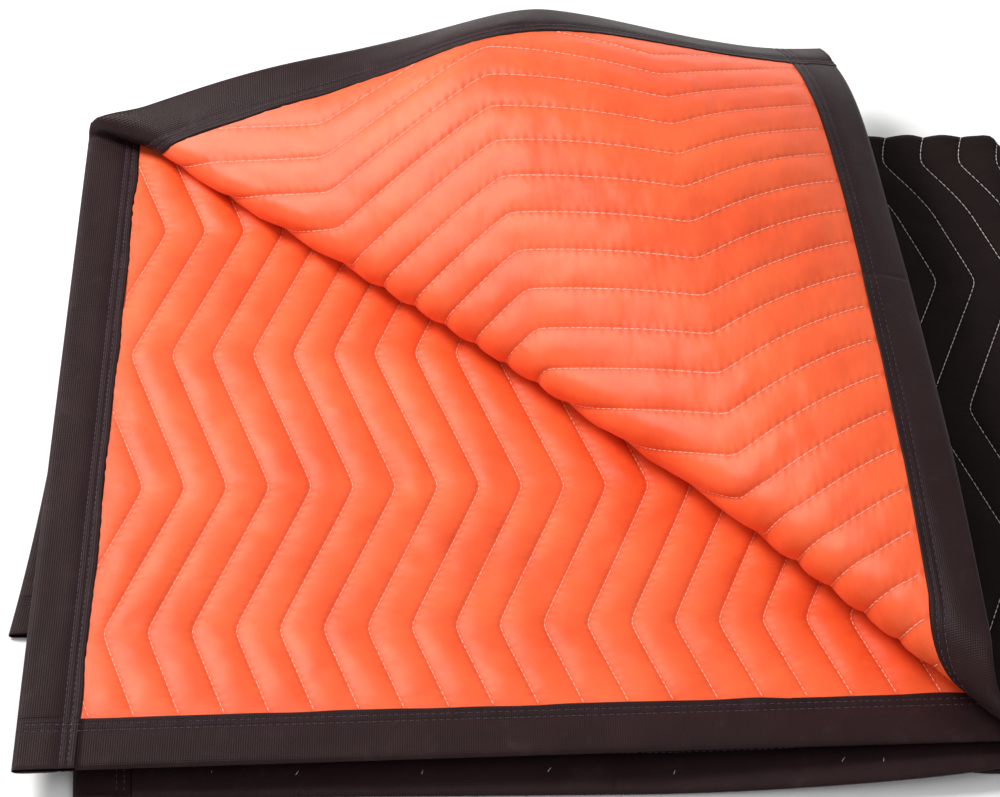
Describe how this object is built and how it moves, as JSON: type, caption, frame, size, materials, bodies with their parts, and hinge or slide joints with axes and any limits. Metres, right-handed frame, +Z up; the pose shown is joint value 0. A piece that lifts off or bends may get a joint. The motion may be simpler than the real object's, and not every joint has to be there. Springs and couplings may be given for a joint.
{
  "type": "folded moving pad",
  "caption": "Quilted moving pad with wide bound edges, folded flat, with the front corner of its top layer turned back over the pad.",
  "frame": {"origin": "middle of the folded pad's bounding box, on the floor", "axes": "+X towards the side fold, +Y towards the back fold, +Z up from the floor"},
  "size_m": [1.0892, 1.0528, 0.2187],
  "materials": {
    "face": "satin woven cotton and polyester",
    "back": "matt woven cotton and polyester",
    "binding": "soft embossed non-woven tape"
  },
  "bodies": {
    "root": {"face_cloth": "face", "back_cloth": "back", "binding_left": "binding", "binding_right": "binding", "binding_front": "binding", "binding_far": "binding"}
  },
  "joints": []
}
